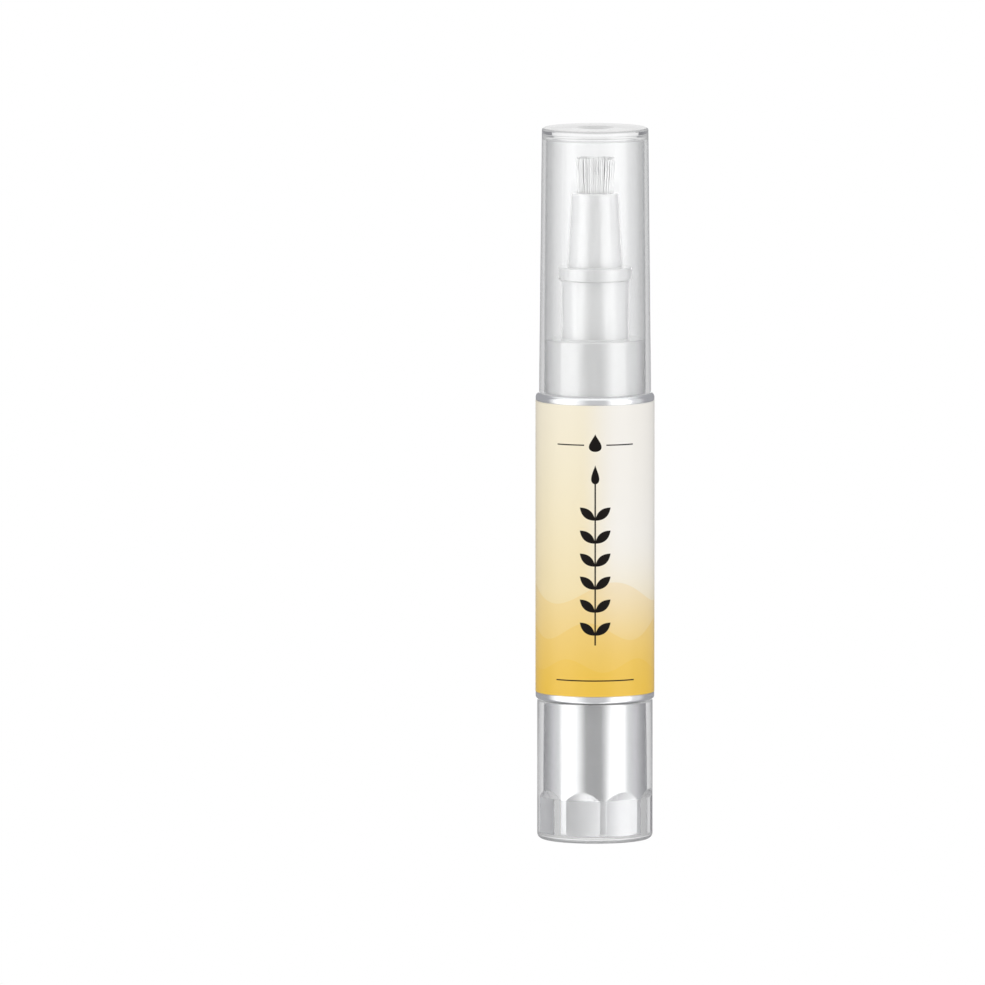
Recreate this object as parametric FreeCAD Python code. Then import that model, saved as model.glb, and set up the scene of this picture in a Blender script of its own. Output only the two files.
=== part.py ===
"""Twist-up nail oil pen, modelled as the pieces it comes apart into.

The pen stands on its clear knob, with its axis on +Z and the origin at the middle of the knob's
foot. Turning the knob turns a screw rod through a fixed nut, which pushes a piston up the oil
chamber and feeds a brush under a clear pull-off cap. Lengths are in millimetres, and the front
of the pen faces -Y. Heights stack up from the knob's foot and radii from the axis outwards, so
each size below can change by itself and its neighbours follow.
"""

import FreeCAD, Part
import math
import os

from FreeCAD import Vector

# Fits between pieces
press_gap = 0.02
running_gap = 0.08
loose_gap = 0.15

# Oil chamber and piston
stroke = 22.0
piston_height = 8.4
piston_lip_height = 1.3
piston_waist_depth = 0.35
piston_skirt_wall = 1.0
piston_crown_thickness = 2.85
piston_rest_gap = 0.3
piston_end_gap = 0.3

# Barrel shells around the chamber
reservoir_wall = 1.35
sleeve_wall = 0.45
label_glue = 0.02
label_thickness = 0.06
label_edge_margin = 0.05
label_seam_width = 0.4
front_ring_height = 1.1
front_ring_lip_thickness = 0.55
front_ring_rounding = 0.7
rear_ring_height = 1.0
rear_ring_rounding = 0.4
ring_setback = 0.02

# Neck fitting, which closes the chamber and carries the cap and the nozzle
plug_depth = 3.25
plug_funnel_wall = 1.0
shoulder_thickness = 0.75
shoulder_setback = 0.05
shoulder_ledge = 0.66
seat_height = 7.8
seat_rounding = 0.3
neck_wall = 1.05
neck_height = 8.4
funnel_height = 6.5
oil_channel_diameter = 3.8

# Nozzle and brush
spigot_wall = 0.92
spigot_length = 5.85
spigot_end_gap = 0.2
flange_overhang = 0.42
flange_thickness = 1.85
flange_rounding = 0.2
cone_foot_step = 0.16
cone_tip_wall = 0.77
cone_height = 10.6
cone_tip_rounding = 0.2
brush_bundle_wall = 1.81
brush_grip_length = 6.8
brush_foot_thickness = 0.75
brush_foot_ledge = 0.3
brush_height = 5.1
brush_flare = 0.3
brush_tip_rounding = 0.9
retainer_length = 8.1
feed_tube_diameter = 1.6
feed_tube_bore = 0.8
feed_tube_tail = 1.0
feed_tube_reach = 1.6

# Cap
cap_wall = 0.7
cap_draft = 0.4
cap_inner_draft = 0.2
cap_fit = 0.06
cap_rest_gap = 0.05
cap_guide_margin = 0.6
cap_headroom = 3.05
cap_top_thickness = 1.1
cap_top_rounding = 0.35
cap_inner_rounding = 0.7
cap_rim_rounding = 0.15
cap_dimple_diameter = 5.6
cap_dimple_depth = 0.3

# Screw rod and nut
rod_diameter = 5.0
rod_flat_cut = 0.7
rod_end_gap = 0.35
rod_head_setback = 0.5
rod_head_height = 1.4
rod_head_lead = 0.7
rod_neck_setback = 1.1
rod_neck_height = 1.0
rod_socket_gap = 0.1
rod_socket_wall = 1.3
nut_flange_thickness = 1.6
nut_hub_wall = 1.22
nut_hub_height = 3.6

# Drive sleeve, which turns the rod and holds the knob on
drive_wall = 1.35
drive_flange_gap = 0.3
drive_flange_thickness = 3.0
drive_web_depth = 3.25
drive_end_engagement = 2.5
drive_float = 0.1
drive_foot_cut = 0.5

# Click ratchet and its spring
ratchet_teeth = 12
ratchet_tooth_height = 0.4
ratchet_tooth_width = 2.0
ratchet_tooth_length = 1.3
ratchet_tooth_root = 0.25
ratchet_tooth_inset = 0.3
ratchet_rim = 0.98
ratchet_ring_height = 2.6
click_ring_thickness = 2.0
click_gap = 0.1
click_lugs = 3
click_lug_width = 1.4
click_lug_height = 1.2
click_lug_depth = 0.32
spring_wire = 0.5
spring_turns = 6
spring_seat_gap = 0.05
spring_arcs_per_turn = 4
spring_points_per_turn = 48

# Knob
knob_gap = 0.15
knob_floor = 1.0
knob_wall = 0.85
knob_fit = 0.04
knob_foot_rounding = 0.8
knob_rim_rounding = 0.2
key_sides = 8
key_height = 5.05
key_turn = 9.0
key_flat_depth = 0.4
key_shelf_slope = 2.0
insert_floor = 1.0
insert_wall = 1.53
insert_click_gap = 0.08
insert_socket_depth = 4.1
insert_setback = 0.05

# Radii of the drive, from the axis outwards
rod_r = rod_diameter / 2
rod_flat_width = rod_diameter - 2 * rod_flat_cut
rod_head_r = rod_r - rod_head_setback
rod_neck_r = rod_r - rod_neck_setback
nut_bore_r = rod_r + running_gap
nut_hub_r = nut_bore_r + nut_hub_wall
drive_bore_r = rod_r + loose_gap
drive_shaft_r = drive_bore_r + drive_wall
drive_foot_width = 2 * (drive_shaft_r - drive_foot_cut)
spring_mean_r = drive_shaft_r + 2 * loose_gap + spring_wire / 2
tooth_inner_r = drive_shaft_r + ratchet_tooth_inset
tooth_outer_r = tooth_inner_r + ratchet_tooth_length
ratchet_ring_r = tooth_outer_r + ratchet_rim
click_ring_inner_r = drive_shaft_r + loose_gap
click_ring_r = tooth_outer_r + loose_gap

# Radii of the knob
insert_bore_r = click_ring_r + insert_click_gap
insert_r = insert_bore_r + insert_wall
key_flat_r = insert_r - key_flat_depth
knob_bore_r = insert_r + knob_fit
knob_r = knob_bore_r + knob_wall

# Radii of the barrel and the cap
chamber_r = ratchet_ring_r + press_gap
drive_flange_r = chamber_r - drive_flange_gap
plug_r = chamber_r - press_gap
reservoir_r = chamber_r + reservoir_wall
sleeve_bore_r = reservoir_r + press_gap
sleeve_r = sleeve_bore_r + sleeve_wall
label_bore_r = sleeve_r + label_glue
label_r = label_bore_r + label_thickness
ring_r = label_r - ring_setback
shoulder_r = reservoir_r - shoulder_setback
seat_r = shoulder_r - shoulder_ledge
cap_bore_r = seat_r + cap_fit
cap_mouth_r = cap_bore_r + cap_wall

# Radii of the nozzle and the brush
feed_tube_r = feed_tube_diameter / 2
brush_bore_r = feed_tube_r + press_gap
brush_hole_r = brush_bore_r + brush_bundle_wall + press_gap
retainer_bore_r = brush_hole_r + brush_foot_ledge
spigot_r = retainer_bore_r + spigot_wall
spigot_bore_r = spigot_r + press_gap
neck_r = spigot_bore_r + neck_wall
flange_r = neck_r + flange_overhang
cone_foot_r = spigot_r + cone_foot_step
cone_tip_r = brush_hole_r + cone_tip_wall

# Heights, from the knob's foot up
z_insert_foot = knob_floor
z_key_top = z_insert_foot + key_height
z_shelf_top = z_key_top + key_shelf_slope * (knob_bore_r - key_flat_r)
z_socket_floor = z_insert_foot + insert_floor
z_spring_seat = z_socket_floor + insert_socket_depth
z_rod_foot = z_socket_floor + rod_end_gap
z_drive_top = z_rod_foot + stroke + drive_end_engagement
z_drive_flange = z_drive_top - drive_flange_thickness
z_ratchet_top = z_drive_flange - drive_float
z_tail = z_ratchet_top - ratchet_ring_height
z_barrel_foot = z_tail - rear_ring_height
z_knob_top = z_barrel_foot - knob_gap
z_click_top = z_tail - ratchet_tooth_height - click_gap - ratchet_tooth_height
z_click_foot = z_click_top - click_ring_thickness

z_nut_foot = z_drive_top + drive_float
z_nut_flange_top = z_nut_foot + nut_flange_thickness
z_piston_foot = z_nut_flange_top + piston_rest_gap
z_piston_top = z_piston_foot + piston_height
z_rod_shoulder = z_piston_top - piston_crown_thickness - rod_neck_height - rod_socket_gap

z_plug_foot = z_piston_top + stroke + piston_end_gap
z_tube_top = z_plug_foot + plug_depth
z_shoulder_top = z_tube_top + shoulder_thickness
z_barrel_top = z_shoulder_top + front_ring_lip_thickness
z_sleeve_top = z_barrel_top - front_ring_height

z_seat_top = z_barrel_top + seat_height
z_neck_top = z_seat_top + neck_height
z_flange_top = z_neck_top + flange_thickness
z_cone_top = z_flange_top + cone_height
z_brush_top = z_cone_top + brush_height
z_spigot_foot = z_neck_top - spigot_length
z_brush_ledge = z_cone_top - brush_grip_length
z_retainer_top = z_brush_ledge - brush_foot_thickness
z_retainer_foot = z_retainer_top - retainer_length

z_cap_foot = z_barrel_top + cap_rest_gap
z_cap_ceiling = z_brush_top + cap_headroom
z_cap_top = z_cap_ceiling + cap_top_thickness


def at(radius, height):
    """A point of an outline, which lies in the XZ plane."""
    return Vector(radius, 0, height)


def turned(*corners):
    """Solid of revolution about Z. A corner is (radius, height) or (radius, height, rounding)."""
    edges = []
    last = None
    first = None
    count = len(corners)
    for i, corner in enumerate(corners):
        here = at(*corner[:2])
        rounding = corner[2] if len(corner) > 2 else 0
        start = end = here
        if rounding:
            back = (at(*corners[i - 1][:2]) - here).normalize()
            ahead = (at(*corners[(i + 1) % count][:2]) - here).normalize()
            half = back.getAngle(ahead) / 2
            start = here + back * (rounding / math.tan(half))
            end = here + ahead * (rounding / math.tan(half))
            inward = (back + ahead).normalize()
            middle = here + inward * (rounding / math.sin(half) - rounding)
        if last is not None:
            edges.append(Part.makeLine(last, start))
        if rounding:
            edges.append(Part.Arc(start, middle, end).toShape())
        first = first or start
        last = end
    edges.append(Part.makeLine(last, first))
    return Part.Face(Part.Wire(edges)).revolve(Vector(), Vector(0, 0, 1), 360)


def rod_shape(radius, foot, top):
    """Plain cylinder on the axis."""
    return Part.makeCylinder(radius, top - foot, Vector(0, 0, foot))


def tube(outer, inner, foot, top):
    """Plain tube on the axis."""
    return turned((inner, foot), (outer, foot), (outer, top), (inner, top))


def double_flat(radius, width, foot, top):
    """Cylinder on the axis with two flats, which face +X and -X."""
    slab = Part.makeBox(width, 4 * radius, top - foot, Vector(-width / 2, -2 * radius, foot))
    return rod_shape(radius, foot, top).common(slab)


def key_outline(flat_r, height):
    """Regular outline of the key, with one corner turned from the front towards +X."""
    corner_r = flat_r / math.cos(math.pi / key_sides)
    angles = [math.radians(key_turn - 90 + 360 * i / key_sides) for i in range(key_sides)]
    ring = [Vector(corner_r * math.cos(a), corner_r * math.sin(a), height) for a in angles]
    return Part.makePolygon(ring + ring[:1])


def key_form(grow):
    """Many-sided key, whose flats run out into the round above along sloping shelves."""
    low = Part.Face(key_outline(key_flat_r + grow, z_insert_foot))
    low = low.extrude(Vector(0, 0, z_key_top - z_insert_foot))
    shelf = [key_outline(key_flat_r + grow, z_key_top), key_outline(knob_bore_r + grow, z_shelf_top)]
    return low.fuse(Part.makeLoft(shelf, True, True))


def around(shape, count):
    """Copies of a shape, evenly spaced about the axis."""
    copies = []
    for i in range(count):
        copy = shape.copy()
        copy.rotate(Vector(), Vector(0, 0, 1), 360 * i / count)
        copies.append(copy)
    return copies


def saw_teeth(root, side):
    """Ring of saw teeth that stand on the height root. Side is 1 for up and -1 for down."""
    half = side * ratchet_tooth_width / 2
    sunk = root - side * ratchet_tooth_root
    outline = [
        Vector(tooth_inner_r, -half, sunk),
        Vector(tooth_inner_r, half, sunk),
        Vector(tooth_inner_r, half, root + side * ratchet_tooth_height),
        Vector(tooth_inner_r, -half, root),
    ]
    face = Part.Face(Part.makePolygon(outline + outline[:1]))
    return around(face.extrude(Vector(ratchet_tooth_length, 0, 0)), ratchet_teeth)


def knob_shell():
    """Clear cup that the fingers turn, with a many-sided pocket that drives the insert."""
    cup = turned(
        (0, 0),
        (knob_r, 0, knob_foot_rounding),
        (knob_r, z_knob_top, knob_rim_rounding),
        (knob_bore_r, z_knob_top),
        (knob_bore_r, z_shelf_top),
        (0, z_shelf_top),
    )
    pocket = rod_shape(knob_bore_r, knob_floor, z_shelf_top).common(key_form(press_gap))
    return cup.cut(pocket)


def knob_insert():
    """Silver sleeve inside the knob, with a many-sided key at its foot and keyways in its bore."""
    z_top = z_knob_top - insert_setback
    blank = turned(
        (0, z_insert_foot),
        (insert_r, z_insert_foot),
        (insert_r, z_top),
        (insert_bore_r, z_top),
        (insert_bore_r, z_spring_seat),
        (0, z_spring_seat),
    )
    around_key = rod_shape(knob_r, z_insert_foot, z_shelf_top).cut(key_form(0))
    socket = double_flat(
        drive_shaft_r + press_gap, drive_foot_width + 2 * press_gap, z_socket_floor, z_spring_seat
    )
    keyway_r = click_ring_r + click_lug_depth + insert_click_gap
    keyway_width = click_lug_width + 2 * insert_click_gap
    z_keyway = z_click_foot - click_lug_height
    keyway = Part.makeBox(
        keyway_r, keyway_width, z_top - z_keyway, Vector(0, -keyway_width / 2, z_keyway)
    ).common(rod_shape(keyway_r, z_keyway, z_top))
    return blank.cut([around_key, socket] + around(keyway, click_lugs))


def drive_sleeve():
    """Hollow spindle that ties the knob to the barrel and turns the rod by its two flats."""
    z_foot = z_socket_floor + press_gap
    spindle = turned(
        (drive_bore_r, z_foot),
        (drive_shaft_r, z_foot),
        (drive_shaft_r, z_drive_flange),
        (drive_flange_r, z_drive_flange),
        (drive_flange_r, z_drive_top),
        (0, z_drive_top),
        (0, z_drive_top - drive_web_depth),
        (drive_bore_r, z_drive_top - drive_web_depth),
    )
    z_web = z_drive_top - drive_web_depth
    hole = double_flat(rod_r + running_gap, rod_flat_width + 2 * running_gap, z_web, z_drive_top)
    foot = rod_shape(drive_shaft_r + drive_wall, z_foot, z_spring_seat)
    flats = foot.cut(double_flat(2 * drive_shaft_r, drive_foot_width, z_foot, z_spring_seat))
    return spindle.cut([hole, flats])


def ratchet_ring():
    """Fixed ring in the barrel's tail, whose saw teeth face the click ring."""
    ring = tube(ratchet_ring_r, drive_shaft_r + running_gap, z_tail, z_ratchet_top)
    return ring.fuse(saw_teeth(z_tail, -1)).removeSplitter()


def click_ring():
    """Ring that turns with the knob by its lugs, and clicks over the fixed teeth."""
    ring = tube(click_ring_r, click_ring_inner_r, z_click_foot, z_click_top)
    reach = click_ring_r + click_lug_depth
    lug = Part.makeBox(
        reach, click_lug_width, click_lug_height, Vector(0, -click_lug_width / 2, z_click_foot)
    )
    lug = lug.common(tube(reach, click_ring_inner_r, z_click_foot, z_click_top))
    pieces = saw_teeth(z_click_top, 1) + around(lug, click_lugs)
    return ring.fuse(pieces).removeSplitter()


def arc_to(start, direction, end):
    """Arc that leaves start along direction and ends at end, with the direction it ends in."""
    chord = end - start
    half = direction.getAngle(chord)
    tangent = chord.Length / (2 * math.cos(half))
    corner = start + direction * tangent
    middle_of_chord = (start + end) * 0.5
    to_centre = (middle_of_chord - corner).normalize()
    radius = tangent / math.tan(half)
    middle = corner + to_centre * (radius / math.cos(half) - radius)
    return Part.Arc(start, middle, end).toShape(), (end - corner).normalize()


def click_spring():
    """Round-wire compression spring between the insert and the click ring."""
    z_low = z_spring_seat + spring_seat_gap + spring_wire / 2
    z_high = z_click_foot - spring_seat_gap - spring_wire / 2
    steps = spring_turns * spring_arcs_per_turn
    rise = (z_high - z_low) / (2 * math.pi * spring_turns)

    def spot(turned_by):
        return Vector(
            spring_mean_r * math.cos(turned_by),
            spring_mean_r * math.sin(turned_by),
            z_low + rise * turned_by,
        )

    def heading(turned_by):
        across = spring_mean_r * Vector(-math.sin(turned_by), math.cos(turned_by), 0)
        return (across + Vector(0, 0, rise)).normalize()

    edges = []
    for i in range(steps):
        begin, finish = (2 * math.pi * k / spring_arcs_per_turn for k in (i, i + 1))
        leave, arrive = heading(begin), heading(finish)
        chord = spot(finish) - spot(begin)
        along = chord.dot(leave + arrive)
        bend = 2 * (1 - leave.dot(arrive))
        reach = (math.sqrt(along**2 + bend * chord.dot(chord)) - along) / bend
        meeting = (spot(begin) + leave * reach + spot(finish) - arrive * reach) * 0.5
        first, direction = arc_to(spot(begin), leave, meeting)
        second, direction = arc_to(meeting, direction, spot(finish))
        edges += [first, second]
    path = Part.Wire(edges)
    points = path.discretize(Number=spring_turns * spring_points_per_turn)
    apart = spring_points_per_turn // 2
    pairs = ((a, b) for i, a in enumerate(points) for b in points[i + apart:])
    least = min(a.distanceToPoint(b) for a, b in pairs) - spring_wire
    print(f"click spring: least gap to itself {least:.2f} mm")
    section = Part.Wire(Part.makeCircle(spring_wire / 2, spot(0), heading(0)))
    return path.makePipeShell([section], True, False)


def screw_nut():
    """Fixed nut that the rod screws through, with a hub inside the piston's skirt."""
    return turned(
        (nut_bore_r, z_nut_foot),
        (plug_r, z_nut_foot),
        (plug_r, z_nut_flange_top),
        (nut_hub_r, z_nut_flange_top),
        (nut_hub_r, z_nut_flange_top + nut_hub_height),
        (nut_bore_r, z_nut_flange_top + nut_hub_height),
    )


def screw_rod():
    """Rod with two flats for the drive sleeve and a snap head for the piston."""
    z_head = z_rod_shoulder + rod_neck_height
    stem = double_flat(rod_r, rod_flat_width, z_rod_foot, z_rod_shoulder)
    head = turned(
        (0, z_rod_shoulder),
        (rod_neck_r, z_rod_shoulder),
        (rod_neck_r, z_head),
        (rod_head_r, z_head),
        (rod_head_r, z_head + rod_head_height - rod_head_lead),
        (rod_head_r - rod_head_lead, z_head + rod_head_height),
        (0, z_head + rod_head_height),
    )
    return stem.fuse(head).removeSplitter()


def piston():
    """Soft piston with two wiping lips, hollow below, snapped onto the rod's head."""
    lip_r = chamber_r - running_gap
    waist_r = lip_r - piston_waist_depth
    skirt_r = waist_r - piston_skirt_wall
    z_crown = z_piston_top - piston_crown_thickness
    z_socket_foot = z_rod_shoulder + rod_socket_gap
    z_socket_neck = z_rod_shoulder + rod_neck_height - rod_socket_gap
    z_socket_top = z_rod_shoulder + rod_neck_height + rod_head_height + rod_socket_gap
    socket_r = rod_head_r + rod_socket_gap
    mouth_r = rod_neck_r + rod_socket_gap
    boss_r = socket_r + rod_socket_wall
    return turned(
        (0, z_socket_top),
        (socket_r, z_socket_top),
        (socket_r, z_socket_neck),
        (mouth_r, z_socket_neck),
        (mouth_r, z_socket_foot),
        (boss_r, z_socket_foot),
        (boss_r, z_crown),
        (skirt_r, z_crown),
        (skirt_r, z_piston_foot),
        (lip_r, z_piston_foot),
        (lip_r, z_piston_foot + piston_lip_height - piston_waist_depth),
        (waist_r, z_piston_foot + piston_lip_height),
        (waist_r, z_piston_top - piston_lip_height),
        (lip_r, z_piston_top - piston_lip_height + piston_waist_depth),
        (lip_r, z_piston_top - piston_waist_depth),
        (waist_r, z_piston_top),
        (0, z_piston_top),
    )


def reservoir_tube():
    """Straight tube that holds the oil and, below it, the fixed drive pieces."""
    return tube(reservoir_r, chamber_r, z_tail, z_tube_top)


def barrel_sleeve():
    """Metal sleeve over the reservoir, under the label."""
    return tube(sleeve_r, sleeve_bore_r, z_tail, z_sleeve_top)


def label_wrap():
    """Printed film round the sleeve, with its butt seam at the back."""
    z_foot = z_tail + label_edge_margin
    z_top = z_sleeve_top - label_edge_margin
    seam = Part.makeBox(
        label_seam_width, 2 * label_r, z_top - z_foot, Vector(-label_seam_width / 2, 0, z_foot)
    )
    return tube(label_r, label_bore_r, z_foot, z_top).cut(seam)


def front_ring():
    """Plated ring at the barrel's mouth, which holds the neck fitting's shoulder down."""
    lip_r = seat_r + running_gap
    z_lip = z_barrel_top - front_ring_lip_thickness
    return turned(
        (lip_r, z_lip),
        (sleeve_bore_r, z_lip),
        (sleeve_bore_r, z_sleeve_top),
        (ring_r, z_sleeve_top),
        (ring_r, z_barrel_top, front_ring_rounding),
        (lip_r, z_barrel_top),
    )


def rear_ring():
    """Plated ring at the barrel's tail, which closes the shells round the click ring."""
    return turned(
        (click_ring_r + loose_gap, z_barrel_foot),
        (ring_r, z_barrel_foot, rear_ring_rounding),
        (ring_r, z_tail),
        (click_ring_r + loose_gap, z_tail),
    )


def neck_fitting():
    """Moulded fitting: plug in the chamber, shoulder under the front ring, cap seat and neck."""
    channel_r = oil_channel_diameter / 2
    z_spigot_ledge = z_spigot_foot - spigot_end_gap
    return turned(
        (plug_r - plug_funnel_wall, z_plug_foot),
        (plug_r, z_plug_foot),
        (plug_r, z_tube_top),
        (shoulder_r, z_tube_top),
        (shoulder_r, z_shoulder_top),
        (seat_r, z_shoulder_top),
        (seat_r, z_seat_top, seat_rounding),
        (neck_r, z_seat_top),
        (neck_r, z_neck_top),
        (spigot_bore_r, z_neck_top),
        (spigot_bore_r, z_spigot_ledge),
        (channel_r, z_spigot_ledge),
        (channel_r, z_plug_foot + funnel_height),
    )


def nozzle():
    """Tapered brush holder with a flange that sits on the neck and a spigot inside it."""
    return turned(
        (retainer_bore_r, z_spigot_foot),
        (spigot_r, z_spigot_foot),
        (spigot_r, z_neck_top),
        (flange_r, z_neck_top, flange_rounding),
        (flange_r, z_flange_top, flange_rounding),
        (cone_foot_r, z_flange_top),
        (cone_tip_r, z_cone_top, cone_tip_rounding),
        (brush_hole_r, z_cone_top),
        (brush_hole_r, z_brush_ledge),
        (retainer_bore_r, z_brush_ledge),
    )


def bristle_tuft():
    """Brush tuft, with its fused foot held under the nozzle's ledge."""
    foot_r = retainer_bore_r - press_gap
    bundle_r = brush_hole_r - press_gap
    z_hole_top = z_cone_top + feed_tube_reach + press_gap
    return turned(
        (brush_bore_r, z_retainer_top),
        (foot_r, z_retainer_top),
        (foot_r, z_brush_ledge),
        (bundle_r, z_brush_ledge),
        (bundle_r, z_cone_top),
        (bundle_r + brush_flare, z_brush_top, brush_tip_rounding),
        (0, z_brush_top),
        (0, z_hole_top),
        (brush_bore_r, z_hole_top),
    )


def brush_retainer():
    """Plug that holds the brush foot up against the nozzle's ledge."""
    outer_r = retainer_bore_r - press_gap
    return tube(outer_r, brush_bore_r, z_retainer_foot, z_retainer_top)


def feed_tube():
    """Thin tube that leads the oil through the retainer into the middle of the brush."""
    z_foot = z_retainer_foot - feed_tube_tail
    return tube(feed_tube_r, feed_tube_bore / 2, z_foot, z_cone_top + feed_tube_reach)


def cap_shell():
    """Clear pull-off cap with a straight guide at its mouth and a shallow dimple on top."""
    top_r = cap_mouth_r - cap_draft
    dimple_r = cap_dimple_diameter / 2
    z_guide_top = z_seat_top + cap_guide_margin
    return turned(
        (0, z_cap_ceiling),
        (cap_bore_r - cap_inner_draft, z_cap_ceiling, cap_inner_rounding),
        (cap_bore_r, z_guide_top),
        (cap_bore_r, z_cap_foot),
        (cap_mouth_r, z_cap_foot, cap_rim_rounding),
        (top_r, z_cap_top, cap_top_rounding),
        (dimple_r, z_cap_top),
        (dimple_r - cap_dimple_depth, z_cap_top - cap_dimple_depth),
        (0, z_cap_top - cap_dimple_depth),
    )


PIECES = (
    cap_shell,
    bristle_tuft,
    nozzle,
    brush_retainer,
    feed_tube,
    neck_fitting,
    front_ring,
    barrel_sleeve,
    label_wrap,
    reservoir_tube,
    rear_ring,
    piston,
    screw_rod,
    screw_nut,
    drive_sleeve,
    ratchet_ring,
    click_ring,
    click_spring,
    knob_insert,
    knob_shell,
)

os.makedirs("parts", exist_ok=True)
for piece in PIECES:
    solid = piece()
    name = piece.__name__
    solid.exportStep(f"parts/{name}.step")
    print(f"{name}: {len(solid.Solids)} solid, valid {solid.isValid()}, {solid.Volume:.2f} mm3")
capacity = math.pi * chamber_r**2 * stroke / 1000
print(f"capacity {capacity:.2f} ml, height {z_cap_top:.2f} mm, barrel {2 * label_r:.2f} mm")
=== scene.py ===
"""Looks of a twist-up nail oil pen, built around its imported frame.

Run as a script, the file registers its tools and calls them in order. Lengths are in metres, the
pen's axis is +Z with its foot at the origin, and the front of the pen faces -Y.
"""

import math
import random

import bmesh
import bpy
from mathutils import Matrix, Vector


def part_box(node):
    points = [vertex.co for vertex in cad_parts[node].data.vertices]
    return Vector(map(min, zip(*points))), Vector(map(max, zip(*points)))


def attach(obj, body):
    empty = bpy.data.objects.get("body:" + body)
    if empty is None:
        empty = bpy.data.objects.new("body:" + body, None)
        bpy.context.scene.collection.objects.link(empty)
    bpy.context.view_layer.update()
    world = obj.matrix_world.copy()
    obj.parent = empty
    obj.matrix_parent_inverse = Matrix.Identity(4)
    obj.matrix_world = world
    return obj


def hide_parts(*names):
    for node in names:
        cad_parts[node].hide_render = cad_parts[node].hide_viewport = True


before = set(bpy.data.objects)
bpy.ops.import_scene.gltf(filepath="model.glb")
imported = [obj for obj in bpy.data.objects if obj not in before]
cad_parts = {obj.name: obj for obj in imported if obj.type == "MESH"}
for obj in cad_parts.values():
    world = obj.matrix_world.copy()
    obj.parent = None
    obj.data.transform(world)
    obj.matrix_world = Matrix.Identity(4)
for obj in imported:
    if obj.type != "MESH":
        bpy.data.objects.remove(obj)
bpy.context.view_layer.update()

bl_info = {
    "name": "Nail Oil Pen",
    "version": (1, 0, 0),
    "blender": (4, 5, 0),
    "location": "View3D > Sidebar > Oil Pen",
    "description": "Models the looks of a twist-up nail oil pen around its frame",
    "category": "Add Mesh",
}

MM = 0.001
FULL_TURN = 2 * math.pi
SPIN_STEPS = 192
ROUND_STEPS = 9
THREAD_STEPS = 48
WIRE_SIDES = 16
SMOOTH_ANGLE = math.radians(32)
FACET_ANGLE = math.radians(12)
MERGE_DISTANCE = 1e-7
SEED = 7
FLOOR_SIDES = 96
SENSOR_WIDTH = 36.0
PLASTIC_IOR = 1.49

# Roundings of small edges
HAIR_EDGE = 0.08 * MM
FINE_EDGE = 0.1 * MM
THIN_EDGE = 0.12 * MM
SMALL_EDGE = 0.15 * MM
SOFT_EDGE = 0.2 * MM
ROUND_EDGE = 0.3 * MM

# Label print: lengths in millimetres, waves counted round the barrel, phases in radians
PRINT_EDGE = 0.04
WAVE_EDGE = 0.12
WAVES = (
    {"level": 36.0, "swell": 1.6, "count": 3, "phase": 0.6, "strength": 0.24},
    {"level": 30.5, "swell": 1.3, "count": 4, "phase": 2.1, "strength": 0.3},
    {"level": 25.6, "swell": 0.9, "count": 5, "phase": 4.0, "strength": 0.34},
)


def foot_of(node):
    """Height of a node's lowest point."""
    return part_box(node)[0].z


def top_of(node):
    """Height of a node's highest point."""
    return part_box(node)[1].z


def length(name, description, millimetres):
    """A size that the user can change, with its default in millimetres."""
    return bpy.props.FloatProperty(
        name=name, description=description, default=millimetres * MM, min=0.0, precision=5, unit="LENGTH"
    )


def turn(name, description, degrees):
    """An angle that the user can change, with its default in degrees."""
    return bpy.props.FloatProperty(
        name=name, description=description, default=math.radians(degrees), unit="ROTATION"
    )


def number(name, description, value):
    """A count that the user can change."""
    return bpy.props.IntProperty(name=name, description=description, default=value, min=1)


def colour(name, description, value):
    """A colour that the user can change."""
    return bpy.props.FloatVectorProperty(
        name=name, description=description, default=value, size=3, min=0.0, max=1.0, subtype="COLOR"
    )


class CapSettings(bpy.types.PropertyGroup):
    """Sizes and tint of the clear pull-off cap."""

    bore: length("Bore radius", "Radius of the straight guide at the mouth", 7.3)
    mouth: length("Mouth radius", "Outer radius at the mouth", 8.0)
    draft: length("Outer draft", "How much the outside narrows towards the top", 0.4)
    inner_draft: length("Inner draft", "How much the bore narrows towards the top", 0.2)
    guide: length("Guide height", "Height of the straight guide above the mouth", 8.35)
    ceiling: length("Top thickness", "Thickness of the flat top", 1.1)
    dimple: length("Dimple radius", "Radius of the shallow dimple in the top", 2.8)
    dimple_depth: length("Dimple depth", "Depth of the shallow dimple in the top", 0.3)
    tint: colour("Tint", "Colour of the clear plastic", (0.985, 0.988, 0.99))


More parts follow.
